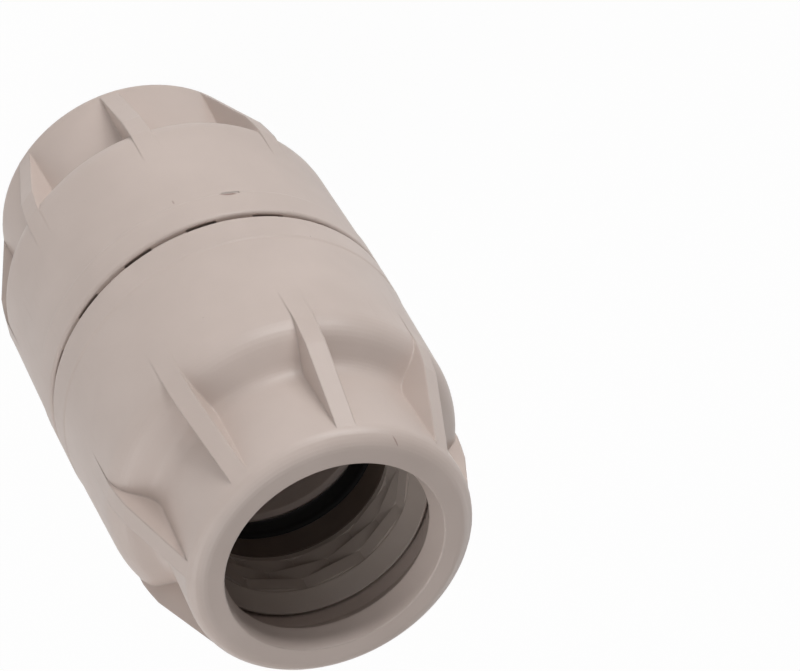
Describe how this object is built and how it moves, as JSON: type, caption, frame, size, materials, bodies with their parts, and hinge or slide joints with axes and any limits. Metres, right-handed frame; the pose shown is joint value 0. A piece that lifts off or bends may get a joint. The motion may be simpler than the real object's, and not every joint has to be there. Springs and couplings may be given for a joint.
{
  "type": "pipe compression coupling",
  "caption": "Straight compression coupling for plastic pipe: flanged threaded body, ribbed screw nuts at both ends, split grip rings, pressure rings and rubber seals.",
  "frame": {"origin": "centre of the lower nut's mouth face, on which the coupling stands", "axes": "+Z along the pipe axis, from the lower mouth to the upper one; +X through a rib of the upper nut"},
  "size_m": [0.0738, 0.0738, 0.1274],
  "materials": {
    "moulded_plastic": "satin",
    "ring_plastic": "satin",
    "bush_plastic": "satin",
    "seal_rubber": "matte"
  },
  "bodies": {
    "sleeve": {"body": "moulded_plastic", "seal_top": "seal_rubber", "seal_bottom": "seal_rubber", "pressure_ring_top": "bush_plastic", "pressure_ring_bottom": "bush_plastic"},
    "upper_grip": {"grip_ring_top": "ring_plastic"},
    "upper_nut": {"nut_top": "moulded_plastic"},
    "lower_grip": {"grip_ring_bottom": "ring_plastic"},
    "lower_nut": {"nut_bottom": "moulded_plastic"}
  },
  "joints": [
    {"name": "upper_nut_travel", "type": "slide", "parent": "sleeve", "child": "upper_grip", "axis": [0, 0, 1], "range_m": [0, 0.022]},
    {"name": "upper_nut_turn", "type": "hinge", "parent": "upper_grip", "child": "upper_nut", "pos_m": [0, 0, 0.1], "axis": [0, 0, 1], "range_deg": [0, 1440]},
    {"name": "lower_nut_travel", "type": "slide", "parent": "sleeve", "child": "lower_grip", "axis": [0, 0, -1], "range_m": [0, 0.022]},
    {"name": "lower_nut_turn", "type": "hinge", "parent": "lower_grip", "child": "lower_nut", "pos_m": [0, 0, 0.027], "axis": [0, 0, -1], "range_deg": [0, 1440]}
  ],
  "couplings": [
    {"joint": "upper_nut_travel", "follows": "upper_nut_turn", "m_per_rad": 0.00087535},
    {"joint": "lower_nut_travel", "follows": "lower_nut_turn", "m_per_rad": 0.00087535}
  ]
}
